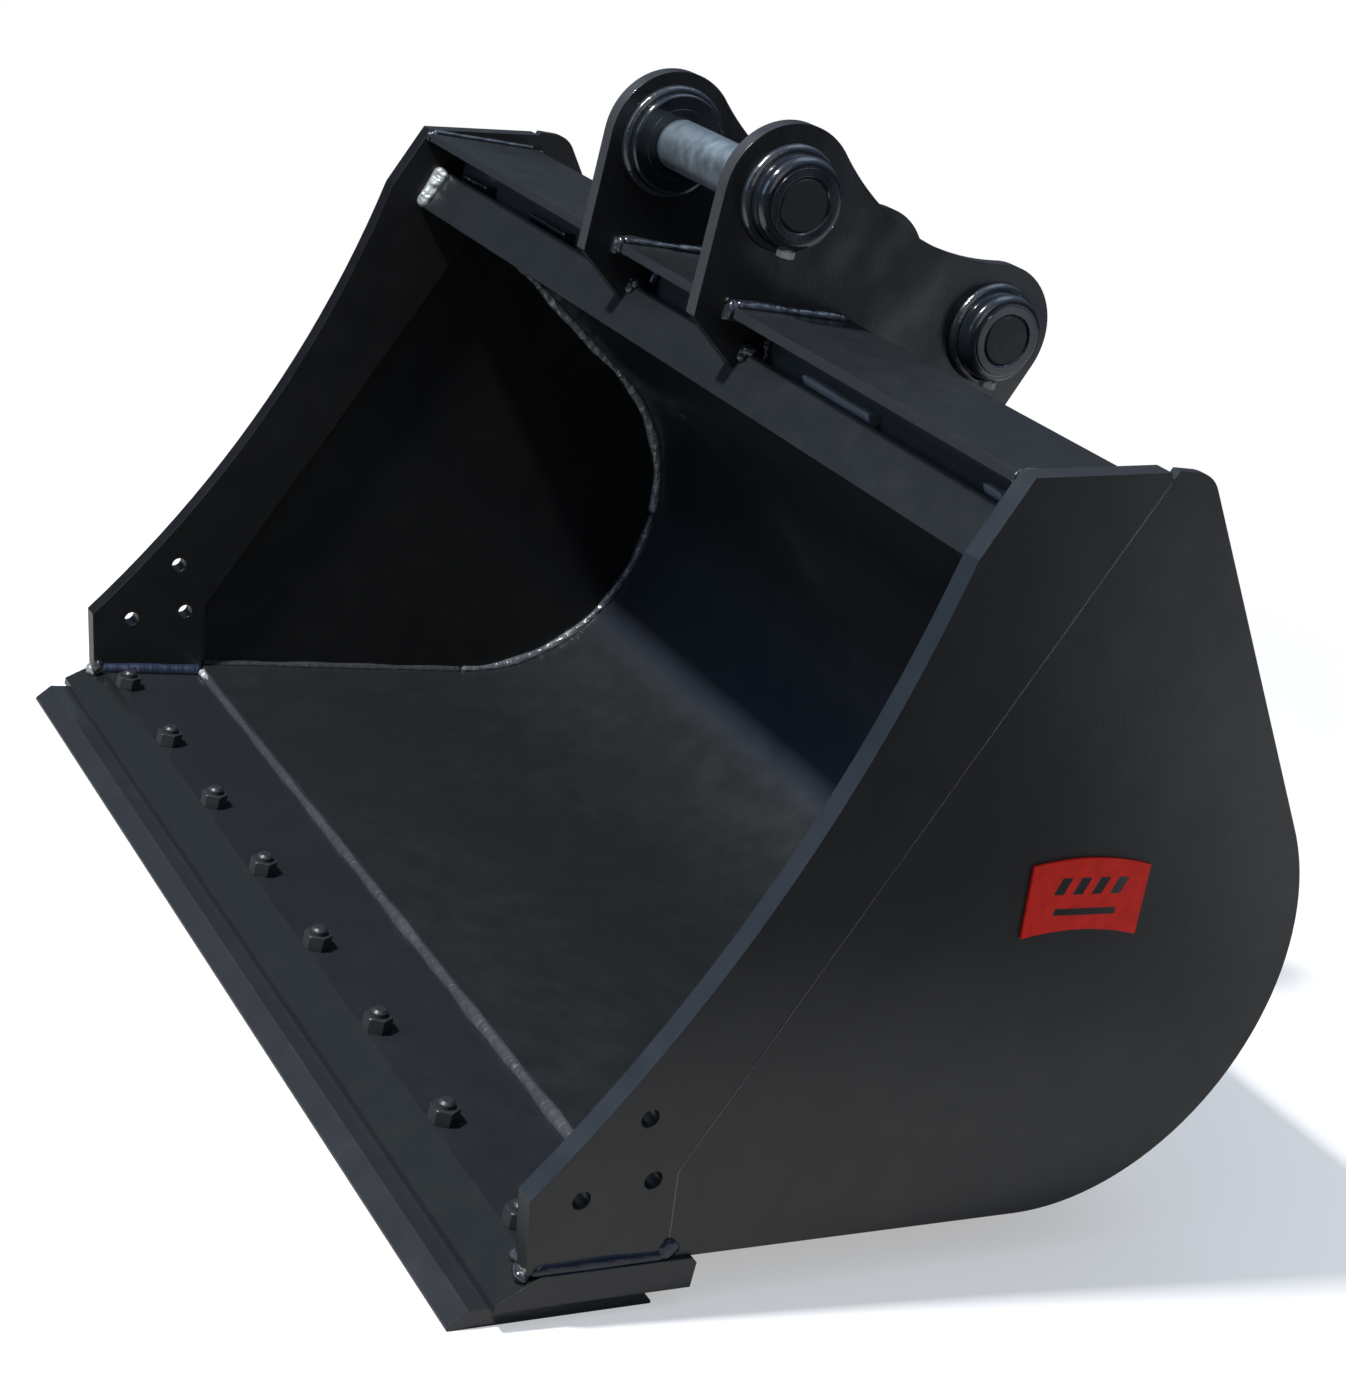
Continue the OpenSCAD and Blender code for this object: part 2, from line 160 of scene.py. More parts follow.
def paint(name, base, dust_and_glint_colour, rough=0.34, wave=0.25, edge=0.0016, dust=0.5, spec=0.4, peel=0.05,
          coat=0.25, coat_rough=0.12, tilt=None):
    """Brushed-on dark enamel: brush waves, fine peel, dust and rubbed edges; in the weld paints for
    glints the dust colour is painted glint as well. tilt is a direction, two limits and a colour:
    faces that look that way take the colour, which is painted light: a reflection on some paints,
    shade on others."""
    m, nt, b = nodes_of(name)
    tc = nt.nodes.new("ShaderNodeTexCoord").outputs["Object"]
    big = noise(nt, tc, 3.1, 3.0, 0.5)
    mid = noise(nt, tc, 21.0, 5.0, 0.6)
    fine = noise(nt, tc, 260.0, 2.0, 0.5)
    specks = noise(nt, tc, 620.0, 1.0, 0.4)
    d = math_node(nt, "MULTIPLY", ramp(nt, big, 0.35, 0.75), ramp(nt, mid, 0.35, 0.7))
    d = math_node(nt, "MULTIPLY", d, dust)
    spot = math_node(nt, "MULTIPLY", ramp(nt, specks, 0.70, 0.78), 0.5 * dust)
    d = math_node(nt, "ADD", d, spot)
    col = mixc(nt, d, base, dust_and_glint_colour)
    bev = nt.nodes.new("ShaderNodeBevel")
    bev.samples = 4
    bev.inputs["Radius"].default_value = edge
    geo = nt.nodes.new("ShaderNodeNewGeometry")
    dot = nt.nodes.new("ShaderNodeVectorMath")
    dot.operation = "DOT_PRODUCT"
    nt.links.new(bev.outputs["Normal"], dot.inputs[0])
    nt.links.new(geo.outputs["Normal"], dot.inputs[1])
    worn = ramp(nt, dot.outputs["Value"], 0.995, 0.80)
    worn = math_node(nt, "MULTIPLY", worn, ramp(nt, mid, 0.42, 0.62, 0.0, 0.35))
    col = mixc(nt, worn, col, tuple(min(1.0, c * 3.2 + 0.03) for c in base))
    # painted light: faces that look along the given way take a colour that is lighter for a painted
    # reflection and darker for painted shade
    if tilt:
        way, lo, hi, painted_light_colour = tilt
        face = nt.nodes.new("ShaderNodeVectorMath")
        face.operation = "DOT_PRODUCT"
        nt.links.new(geo.outputs["Normal"], face.inputs[0])
        face.inputs[1].default_value = way
        col = mixc(nt, ramp(nt, face.outputs["Value"], lo, hi), col, painted_light_colour)
    nt.links.new(col, b.inputs["Base Color"])
    r = ramp(nt, mid, 0.3, 0.7, rough - 0.03, rough + 0.04)
    r = math_node(nt, "ADD", r, math_node(nt, "MULTIPLY", d, 0.35))
    nt.links.new(r, b.inputs["Roughness"])
    b.inputs["Specular IOR Level"].default_value = spec
    b.inputs["Coat Weight"].default_value = coat
    b.inputs["Coat Roughness"].default_value = coat_rough
    wavy = noise(nt, tc, 5.5, 2.0, 0.5)
    b1 = nt.nodes.new("ShaderNodeBump")
    b1.inputs["Strength"].default_value = wave
    b1.inputs["Distance"].default_value = 0.02
    nt.links.new(wavy, b1.inputs["Height"])
    nt.links.new(bev.outputs["Normal"], b1.inputs["Normal"])
    b2 = nt.nodes.new("ShaderNodeBump")
    b2.inputs["Strength"].default_value = peel
    b2.inputs["Distance"].default_value = 0.002
    nt.links.new(fine, b2.inputs["Height"])
    nt.links.new(b1.outputs["Normal"], b2.inputs["Normal"])
    nt.links.new(b2.outputs["Normal"], b.inputs["Normal"])
    nt.links.new(b2.outputs["Normal"], b.inputs["Coat Normal"])
    return m


def steel(name, base, rough=0.35, scale=(260.0, 14.0, 14.0), dark=0.45, metal=0.85):
    m, nt, b = nodes_of(name)
    tc = nt.nodes.new("ShaderNodeTexCoord").outputs["Object"]
    mp = nt.nodes.new("ShaderNodeMapping")
    mp.inputs["Scale"].default_value = scale
    nt.links.new(tc, mp.inputs["Vector"])
    lay = noise(nt, mp.outputs[0], 3.0, 4.0, 0.6)
    spot = noise(nt, tc, 34.0, 4.0, 0.6)
    col = mixc(nt, ramp(nt, lay, 0.3, 0.7), tuple(c * 0.72 for c in base), base)
    col = mixc(nt, ramp(nt, spot, 0.52, 0.72, 0.0, dark), col, (0.05, 0.045, 0.04))
    nt.links.new(col, b.inputs["Base Color"])
    b.inputs["Metallic"].default_value = metal
    nt.links.new(ramp(nt, lay, 0.2, 0.8, rough - 0.08, rough + 0.12), b.inputs["Roughness"])
    bu = nt.nodes.new("ShaderNodeBump")
    bu.inputs["Strength"].default_value = 0.2
    bu.inputs["Distance"].default_value = 0.0008
    nt.links.new(lay, bu.inputs["Height"])
    nt.links.new(bu.outputs["Normal"], b.inputs["Normal"])
    return m


DUST = (0.026, 0.029, 0.033)
PLATE_DUST = (0.024, 0.0235, 0.023)
# Faces looking along these ways take painted light: a painted reflection on the cover's front edge,
# the foot of the back wall, the ears' front edges and the right strip's front edge, and painted
# shade on the left strip's front edge and the base edge's nose.
FORWARD = (0.0, -1.0, 0.0)              # front edge of the cover plate
FORWARD_UP = (0.0, -0.95, 0.31)         # foot of the back wall, front edges of the ears
STRIP_EDGE = (0.0, -0.85, 0.52)         # slanted front edges of the side strips
BLADE_NOSE = (0.0, -0.506, 0.862)       # sloped nose of the base edge
M = {
    # painted reflection: faces low on the back wall that look forward and up take a navy tint for
    # the sky mirrored there
    "shell_paint": paint(
        "shell paint", (0.0115, 0.0132, 0.0148), DUST, rough=0.33, wave=0.07, dust=0.22,
        tilt=(FORWARD_UP, 0.88, 0.98, (0.0180, 0.0225, 0.0350))),
    # painted reflection: the cover's front edge takes a bluish tint for the sky mirrored there
    "cover_paint": paint(
        "cover paint", (0.0105, 0.0118, 0.0133), DUST, rough=0.33, wave=0.07, dust=0.22,
        spec=0.22, coat=0.1, tilt=(FORWARD, 0.80, 0.95, (0.0180, 0.0205, 0.0250))),
    # painted light: the web is painted several times lighter than the plates around it, to stand
    # for light in the groove, which lies in shade
    "web_painted_light": paint(
        "web painted light", (0.0650, 0.0690, 0.0750), DUST, rough=0.40, wave=0.06, dust=0.2),
    "plate_paint": paint(
        "plate paint", (0.0085, 0.0106, 0.0128), DUST, rough=0.30, wave=0.06, dust=0.14),
    # painted reflection: the slanted front edge of the right strip, which takes this paint, is
    # bluish for the sky mirrored there
    "panel_paint": paint(
        "panel paint", (0.0100, 0.0104, 0.0108), PLATE_DUST, rough=0.40, wave=0.10, dust=0.30,
        tilt=(STRIP_EDGE, 0.75, 0.90, (0.0086, 0.0126, 0.0182))),
    # painted shade: a copy of the panel paint whose slanted front edge on the left strip is near
    # black
    "left_strip_painted_shade": paint(
        "left strip painted shade", (0.0100, 0.0104, 0.0108), PLATE_DUST, rough=0.40, wave=0.10, dust=0.30,
        tilt=(STRIP_EDGE, 0.75, 0.90, (0.0020, 0.0022, 0.0030))),
    # painted reflection: the ears' front edges take a lighter grey for what they mirror
    "ear_paint": paint(
        "ear paint", (0.0145, 0.0142, 0.0142), DUST, rough=0.22, wave=0.30, dust=0.20, spec=0.5,
        tilt=(FORWARD_UP, 0.80, 0.92, (0.032, 0.034, 0.038))),
    "edge_paint": paint(
        "edge paint", (0.0150, 0.0168, 0.0190), DUST, rough=0.28, wave=0.05, dust=0.26),
    # painted shade: the sloped nose of the base edge is darker than its top
    "blade_paint": paint(
        "blade paint", (0.0134, 0.0148, 0.0178), DUST, rough=0.22, wave=0.05, dust=0.26,
        spec=0.35, coat=0.15, tilt=(BLADE_NOSE, 0.97, 0.99, (0.0068, 0.0078, 0.0074))),
    "hub_paint": paint(
        "hub paint", (0.0070, 0.0090, 0.0130), DUST, rough=0.15, wave=0.30, dust=0.10, spec=0.7,
        coat=0.6, coat_rough=0.05),
    "bolt_paint": paint(
        "bolt paint", (0.0170, 0.0190, 0.0220), DUST, rough=0.40, wave=0.05, dust=0.25,
        edge=0.001, coat=0.0),
    "weld_paint": paint(
        "weld paint", (0.0130, 0.0158, 0.0205), DUST, rough=0.22, wave=0.05, dust=0.15, spec=0.7,
        peel=0.15, coat=0.8, coat_rough=0.07),
    "weld_bright": paint(
        "weld bright", (0.0270, 0.0300, 0.0350), (0.048, 0.050, 0.054), rough=0.42, wave=0.05,
        dust=0.35, spec=0.25, peel=0.4, coat=0.0),
    # painted glint: a light weld paint whose lighter dust patches stand for glints
    "weld_painted_glint": paint(
        "weld painted glint", (0.0620, 0.0700, 0.0840), (0.18, 0.185, 0.19), rough=0.20, wave=0.05,
        dust=0.5, spec=0.6, peel=0.4, coat=0.5, coat_rough=0.10),
    # painted highlight: a very light weld paint with near-white patches standing for bright glints
    "weld_painted_highlight": paint(
        "weld painted highlight", (0.15, 0.17, 0.18), (0.60, 0.62, 0.61), rough=0.25, wave=0.05, dust=0.8,
        spec=1.0, peel=0.6, coat=1.0, coat_rough=0.06),
    # painted reflection: a dark blue that stands for sky mirrored in the welds at the strips' outer
    # feet and the seam ends
    "weld_painted_blue_reflection": paint(
        "weld painted blue reflection", (0.0050, 0.0105, 0.0260), (0.012, 0.018, 0.034), rough=0.24, wave=0.05,
        dust=0.10, spec=0.4, peel=0.15),
    # painted reflection: a navy that stands for sky mirrored in the welds along the strips' inner
    # feet
    "weld_painted_navy_reflection": paint(
        "weld painted navy reflection", (0.0145, 0.0205, 0.0410), (0.028, 0.036, 0.060), rough=0.26, wave=0.05,
        dust=0.2, spec=0.6, peel=0.2),
    # painted light: a light grey for the right stitch welds, which lie in the groove's shade
    "stitch": paint(
        "stitch weld", (0.300, 0.300, 0.310), (0.26, 0.27, 0.29), rough=0.35, wave=0.05, dust=0.3,
        spec=0.5, peel=0.3),
    "lock_steel": steel("lock steel", (0.60, 0.58, 0.55), 0.45, dark=0.15, metal=0.15),
}


def pin_finish():
    """Bare grey steel in the middle of the pin, with its ends under the same enamel as the hubs."""
    m = steel("pin steel", (0.212, 0.262, 0.300), 0.46, scale=(30.0, 14.0, 14.0), dark=0.25)
    nt = m.node_tree
    b = [n for n in nt.nodes if n.type == "BSDF_PRINCIPLED"][0]
    tc = nt.nodes.new("ShaderNodeTexCoord").outputs["Object"]
    sep = nt.nodes.new("ShaderNodeSeparateXYZ")
    nt.links.new(tc, sep.inputs[0])
    ax = math_node(nt, "ABSOLUTE", sep.outputs["X"], 0.0)
    ax = math_node(nt, "ADD", ax, math_node(nt, "MULTIPLY", noise(nt, tc, 70.0, 3.0), 0.008))
    f = ramp(nt, ax, 0.1185, 0.1215)    # the grey ends here, in metres from the middle
    b2 = nt.nodes.new("ShaderNodeBsdfPrincipled")
    enamel = mixc(nt, noise(nt, tc, 40.0), (0.010, 0.011, 0.013), (0.022, 0.023, 0.026))
    nt.links.new(enamel, b2.inputs["Base Color"])
    nt.links.new(ramp(nt, noise(nt, tc, 90.0), 0.3, 0.7, 0.30, 0.48), b2.inputs["Roughness"])
    mix = nt.nodes.new("ShaderNodeMixShader")
    out = [n for n in nt.nodes if n.type == "OUTPUT_MATERIAL"][0]
    nt.links.new(f, mix.inputs[0])
    nt.links.new(b.outputs[0], mix.inputs[1])
    nt.links.new(b2.outputs[0], mix.inputs[2])
    nt.links.new(mix.outputs[0], out.inputs[0])
    return m


M["pin_steel"] = pin_finish()


def badge_paint():
    m, nt, b = nodes_of("badge red")
    tc = nt.nodes.new("ShaderNodeTexCoord").outputs["Object"]
    spot = noise(nt, tc, 60.0, 5.0, 0.6)
    fine = noise(nt, tc, 900.0, 2.0, 0.5)
    col = mixc(nt, ramp(nt, spot, 0.35, 0.7), (1.0, 0.024, 0.009), (0.82, 0.018, 0.007))
    nt.links.new(col, b.inputs["Base Color"])
    nt.links.new(ramp(nt, spot, 0.3, 0.7, 0.34, 0.5), b.inputs["Roughness"])
    b.inputs["Specular IOR Level"].default_value = 0.25
    bu = nt.nodes.new("ShaderNodeBump")
    bu.inputs["Strength"].default_value = 0.15
    bu.inputs["Distance"].default_value = 0.0006
    nt.links.new(fine, bu.inputs["Height"])
    nt.links.new(bu.outputs["Normal"], b.inputs["Normal"])
    return m


M["badge_red"] = badge_paint()

slot_of = {s["node"]: s["material_slot"] for s in frame["record"]["subparts"]}
# the left strip's and the web's own paints carry painted light: shade on the left strip's front
# edge, light on the web
own_paint = {"side_strip_left": "left_strip_painted_shade", "side_strip_right": "panel_paint",
             "side_panel_left": "panel_paint", "side_panel_right": "panel_paint",
             "beam_web": "web_painted_light", "beam_cover": "cover_paint", "base_edge": "blade_paint"}
for name, obj in frame["nodes"].items():
    obj.data.materials.clear()
    obj.data.materials.append(M[own_paint.get(name, slot_of[name])])

# ---------------------------------------------------------------- meshes


def piece(name, verts, faces, slot, body="bucket", smooth=True, mat=None):
    """A mesh that rides on a body, with the record's slot and, if given, a paint of its own."""
    me = bpy.data.meshes.new(name)
    me.from_pydata([tuple(v) for v in verts], [], faces)
    me.validate()
    me.update()
    if smooth:
        me.polygons.foreach_set("use_smooth", [True] * len(me.polygons))
    me.materials.append(M[mat or slot])
    o = bpy.data.objects.new(name, me)
    bpy.context.scene.collection.objects.link(o)
    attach(o, body)
    return o


def resample(pts, step):
    """The same line with points about every step."""
    pts = [Vector(p) for p in pts]
    out = [pts[0]]
    for a, b in zip(pts, pts[1:]):
        n = max(1, int(round((b - a).length / step)))
        out += [a.lerp(b, k / n) for k in range(1, n + 1)]
    return out


N_S = 8         # points across a bead
STEP = 1.5      # millimetres between its rings
SINK = 0.8      # how deep its toes go into the plates
ROOT = 0.6      # and its root into the corner


def caps(m, n):
    """The two end faces of n rings of m points."""
    return [tuple(range(m)), tuple(range((n - 1) * m + m - 1, (n - 1) * m - 1, -1))]


def round_end(e, r):
    """Height, 0 to 1, of a round end of radius r at a distance e from its tip."""
    return math.sqrt(max(0.0, 1 - (1 - min(1.0, e / r)) ** 2))


def bead(name, path, us, vs, leg_u, leg_v, bulge=0.35, pitch=5.0, ripple=0.6, seed=1,
         wander=0.10, closed=False, mat=None, grow=1.0, blunt=0.8):
    """A weld bead along path (mm in the profile frame). us and vs are the directions from the
    corner along the two plates (one vector, or one per path point); legs in mm. grow is its
    size at the end of the path over its size at the start, and blunt the length of its round
    ends over its longer leg."""
    if not isinstance(us, list):
        us = [us] * len(path)
    if not isinstance(vs, list):
        vs = [vs] * len(path)
    P, U, V = [], [], []
    for k in range(len(path) - 1):
        a, b = Vector(path[k]), Vector(path[k + 1])
        n = max(1, int(round((b - a).length / STEP)))
        for i in range(n):
            t = i / n
            P.append(a.lerp(b, t))
            U.append(Vector(us[k]).lerp(Vector(us[k + 1]), t).normalized())
            V.append(Vector(vs[k]).lerp(Vector(vs[k + 1]), t).normalized())
    if not closed:
        P.append(Vector(path[-1]))
        U.append(Vector(us[-1]).normalized())
        V.append(Vector(vs[-1]).normalized())
    s = [0.0]
    for a, b in zip(P, P[1:]):
        s.append(s[-1] + (b - a).length)
    total = s[-1] + ((P[0] - P[-1]).length if closed else 0)
    if closed:
        pitch = total / max(1, round(total / pitch))
    ph = seed * 1.7
    rings = []
    for k, (p, u, v) in enumerate(zip(P, U, V)):
        w = 1 + wander * math.sin(s[k] / 23.0 + ph) * math.sin(s[k] / 61.0 + 2 * ph)
        w *= 1 + (grow - 1) * s[k] / total
        end = 1.0
        if not closed:
            end = round_end(min(s[k], total - s[k]), max(leg_u, leg_v) * blunt)
        ring = []
        for j in range(N_S):
            t = j / (N_S - 1)
            x = 2 * t - 1
            phase = (s[k] + 0.5 * pitch * (1 - x * x) * 1.3) / pitch
            phase += 0.55 * math.sin(s[k] / (2.3 * pitch) + ph)
            phase += 0.35 * math.sin(s[k] / (0.9 * pitch) - ph)
            saw = 0.5 - 0.5 * math.cos(TAU * phase + 0.6 * math.sin(TAU * phase))
            k2 = 0.6 + 0.4 * math.sin(s[k] / 9.3 + ph) * math.sin(s[k] / 31.0 - ph)
            lump = 0.5 * ripple * math.sin(s[k] / 4.1 + 2.5 * x + ph)
            lump *= math.sin(s[k] / 13.7 + ph - 2.0 * x)
            rip = (0.6 * ripple * k2 * (saw - 0.4) + lump) * (1 - x ** 6)
            lu, lv = leg_u * w * end, leg_v * w * end
            mid = (u + v)
            mid = mid.normalized() if mid.length > 1e-4 else u
            core = p + u * lu * (1 - t) + v * lv * t
            out = bulge * min(leg_u, leg_v) * math.sin(math.pi * t) * w
            ring.append(core + mid * ((out + rip) * end - SINK * (abs(x) ** 4)))
        if (u + v).length > 1e-4:
            ring.append(p - (u + v).normalized() * ROOT)
        else:
            ring.append(p)
        rings.append(ring)
    verts, faces = [], []
    m = N_S + 1
    for ring in rings:
        verts += [q(*w) for w in ring]
    n = len(rings)
    last = n if closed else n - 1
    for k in range(last):
        a, b = k * m, ((k + 1) % n) * m
        for j in range(m):
            j2 = (j + 1) % m
            faces.append((a + j, a + j2, b + j2, b + j))
    if not closed:
        faces += caps(m, n)
    return piece(name, verts, faces, "weld_paint", mat=mat)


def flat_bead(name, path, s, nrm, width, height, pitch=5.0, ripple=0.5, seed=1, wander=0.12):
    """A flush seam along path: s points across it and nrm out of the plate."""
    pts = resample(path, STEP)
    d = [0.0]
    for a, b in zip(pts, pts[1:]):
        d.append(d[-1] + (b - a).length)
    total = d[-1]
    ph = seed * 2.3
    verts, faces = [], []
    m = N_S + 1
    for k, p in enumerate(pts):
        w = 1 + wander * math.sin(d[k] / 19.0 + ph)
        end = round_end(min(d[k], total - d[k]), width * 0.5)
        for j in range(N_S):
            x = 2 * j / (N_S - 1) - 1
            phase = (d[k] + 0.6 * pitch * (1 - x * x)) / pitch
            saw = phase - math.floor(phase)
            h = height * (1 - abs(x) ** 2.2) + ripple * (saw ** 1.5 - 0.4) * (1 - x ** 4)
            verts.append(q(*(p + s * (x * width / 2 * w * end) + nrm * (h * end - 0.3 * x * x))))
        verts.append(q(*(p - nrm * ROOT)))
    n = len(pts)
    for k in range(n - 1):
        a, b = k * m, (k + 1) * m
        for j in range(m):
            j2 = (j + 1) % m
            faces.append((a + j, b + j, b + j2, a + j2))
    faces += caps(m, n)
    return piece(name, verts, faces, "weld_paint")


def X(v):
    return Vector((v, 0, 0))


def yz(v):
    return Vector((0, v[0], v[1]))


# ---------------------------------------------------------------- welds inside the shell
ARC_STEPS = 40
HALF_ARC = 27       # number of points up to the rearmost one


def inner_path():
    """Points, and the inward normals, of the corner between the side plates and the sheet."""
    pts, nrm = [], []
    for y in (186.0, 628.0):
        pts.append(np.array([y, FLOOR]))
        nrm.append(np.array([0.0, 1.0]))
    a0, a1 = -90.0, RUN_A + 90.0
    for k in range(1, ARC_STEPS + 1):
        a = a0 + (a1 - a0) * k / ARC_STEPS
        pts.append(WRAP_C + WRAP_IN * unit2(a))
        nrm.append(-unit2(a))
    top = RUN_END - 10.5 * RUN_N
    pts.append(top + 4 * RUN_U)
    nrm.append(-RUN_N)
    return pts, nrm


pts, nrm = inner_path()
inward = [yz(n) for n in nrm]
for s, tag in ((1, "right"), (-1, "left")):
    path = [Vector((s * PANEL_IN, p[0], p[1])) for p in pts]
    bead(f"weld_floor_side_{tag}", path[:2], X(-s), inward[:2], 8.5, 6.5, bulge=0.2,
         ripple=1.0, pitch=9.0, wander=0.2, seed=23 + s, mat="weld_bright")
    # the inner corner welds take painted glints, and their upper part bright painted highlights
    bead(f"weld_inside_{tag}", path[1:HALF_ARC], X(-s), inward[1:HALF_ARC], 9.0, 8.0, bulge=0.3,
         ripple=2.2, pitch=9.0, wander=0.25, seed=3 + s, mat="weld_painted_glint", grow=1.3)
    bead(f"weld_inside_top_{tag}", path[HALF_ARC - 1:], X(-s), inward[HALF_ARC - 1:], 12.0, 11.0,
         bulge=0.3, ripple=3.0, pitch=9.0, wander=0.25, seed=37 + s, mat="weld_painted_highlight")
    bead(f"weld_strip_back_{tag}",
         [Vector((s * PANEL_IN, 184, -76)), Vector((s * PANEL_IN, 169, 18))],
         X(-s), yz((0.99, 0.14)), 9.0, 8.0, bulge=0.25, ripple=1.2, pitch=8.0, seed=27 + s,
         mat="weld_bright")
    # foot of the strip: along its inner face and along its outer face, in painted reflections of
    # sky, navy inside and dark blue outside
    bead(f"weld_strip_in_{tag}",
         [Vector((s * STRIP_IN, 20, BASE_TOP)), Vector((s * STRIP_IN, 184, BASE_TOP))],
         X(-s), yz((0, 1)), 12.0, 13.0, bulge=0.3, ripple=1.1, pitch=8.0, seed=7 + s,
         mat="weld_painted_navy_reflection")
    bead(f"weld_strip_out_{tag}",
         [Vector((s * HALF, 24, BASE_TOP)), Vector((s * HALF, 181, BASE_TOP))],
         X(s), yz((0, 1)), 3.9, 13.0, bulge=0.25, ripple=0.35, pitch=7.0, seed=11 + s,
         mat="weld_painted_blue_reflection")
    # the lip bar's end: a heavy weld on the left, a small one on the right, both in paints that
    # stand for glints, the left one as a bright painted highlight
    leg, lip_end_glint_paint = (17.0, "weld_painted_highlight") if s < 0 else (9.0, "weld_painted_glint")
    bead(f"weld_lip_end_{tag}",
         [Vector((s * STRIP_IN, *(LIP_TOP - 66 * LIP_UP))),
          Vector((s * STRIP_IN, *(LIP_TOP + 3 * LIP_UP)))],
         X(-s), yz(-LIP_REAR), leg, leg * 0.8, bulge=0.25, ripple=5.0, pitch=7.0, wander=0.3,
         seed=13 + s, mat=lip_end_glint_paint)
    # cover plate: its front edge, its top and its rear leg against the side plates
    bead(f"weld_cover_edge_{tag}",
         [Vector((s * STRIP_IN, 366, 766)), Vector((s * STRIP_IN, 366, 782))],
         X(-s), yz((-1, 0)), 7.0, 6.0, ripple=0.9, seed=17 + s)
    bead(f"weld_cover_top_{tag}",
         [Vector((s * STRIP_IN, 369, 780)), Vector((s * STRIP_IN, 538, 780))],
         X(-s), yz((0, 1)), 7.0, 6.0, ripple=0.8, pitch=7.0, seed=19 + s)
    leg_line = [FOLD + t * BACK_U for t in (4, 240, 486)]
    bead(f"weld_cover_back_{tag}", [Vector((s * PANEL_IN, *p)) for p in leg_line],
         X(-s), yz(BACK_N), 8.0, 8.0, ripple=0.8, pitch=7.0, seed=23 + s)
    # the rolled heel against the side plates, outside
    turns = [BACK_A + 89.0 - (BACK_A + 89.0 + 89.0) * k / 30 for k in range(31)]
    bead(f"weld_heel_{tag}",
         [Vector((s * PANEL_IN, *(WRAP_C + WRAP_OUT * unit2(a)))) for a in turns],
         X(-s), [yz(unit2(a)) for a in turns], 6.0, 5.5, ripple=0.7, pitch=6.0, seed=29 + s)
    # flush seam between strip and panel on the outer face
    flat_bead(f"weld_side_seam_{tag}",
              [Vector((s * HALF, 183, -86)), Vector((s * HALF, 168, 18)),
               Vector((s * HALF, 545, 793))],
              Vector((0, 0.9, -0.43)), X(s), 4.0, 0.28, ripple=0.06, seed=31 + s)

# the floor sheet on the base edge: on top along its front, and below
bead("weld_floor_lap",
     [Vector((-STRIP_IN + 6, 185, BASE_TOP)), Vector((STRIP_IN - 6, 185, BASE_TOP))],
     yz((-1, 0)), yz((0, 1)), 8.5, 7.5, bulge=0.15, pitch=9.0, ripple=1.0, wander=0.2, seed=5,
     mat="weld_bright", grow=1.6)
# the start of the lap weld on the left is a painted highlight, a bright glint
bead("weld_lap_start",
     [Vector((-STRIP_IN + 3, 184, -87)), Vector((-STRIP_IN + 70, 184.5, -87.5))],
     yz((-1, 0)), yz((0, 1)), 8.0, 8.0, bulge=0.3, pitch=8.0, ripple=2.2, wander=0.3, seed=77,
     mat="weld_painted_highlight", grow=0.7)
bead("weld_floor_under",
     [Vector((-PANEL_IN, 219, BASE_TOP)), Vector((PANEL_IN, 219, BASE_TOP))],
     yz((1, 0)), yz((0, -1)), 8.0, 8.0, bulge=0.2, pitch=6.0, seed=6)
end = WRAP_C + WRAP_OUT * unit2(BACK_A + 90)
bead("weld_cover_foot", [Vector((-PANEL_IN + 8, *end)), Vector((PANEL_IN - 8, *end))],
     yz(BACK_U), yz(BACK_N), 9.0, 7.0, bulge=0.2, pitch=7.0, seed=8)

# stitch welds in the groove between the lip bar and the web; the groove lies in shade, and those on
# the right half are painted light grey to stand for light there
for k, (x0, x1) in enumerate(((262, 404), (-470, -352), (-690, -606), (620, 655))):
    bead(f"weld_stitch_{k}", [Vector((x0, 425.5, 715)), Vector((x1, 425.5, 715))],
         yz((-0.55, 0.83)), yz((0.55, 0.83)), 24.0, 22.0, bulge=0.05, ripple=0.6, pitch=13.0,
         wander=0.04, seed=41 + k, mat="stitch" if x0 > 0 else None, blunt=0.12)


# ---------------------------------------------------------------- ears
def blob(name, centre, radii, seed=1, mat=None):
    """A lump of weld metal: an ellipsoid with a few soft bumps."""
    verts, faces = [], []
    n = 14
    m = 2 * n
    for i in range(n + 1):
        th = math.pi * i / n
        for j in range(m):
            ph = TAU * j / m
            d = np.array([math.sin(th) * math.cos(ph), math.sin(th) * math.sin(ph), math.cos(th)])
            k = 1 + 0.13 * math.sin(3.1 * d[0] + seed) * math.cos(4.3 * d[1] + 2 * seed)
            k += 0.07 * math.sin(7 * d[2] + seed * d[0] * 3)
            verts.append(q(*(centre[a] + radii[a] * d[a] * k for a in range(3))))
    for i in range(n):
        for j in range(m):
            j2 = (j + 1) % m
            faces.append((i * m + j, (i + 1) * m + j, (i + 1) * m + j2, i * m + j2))
    return piece(name, verts, faces, "weld_paint", mat=mat)


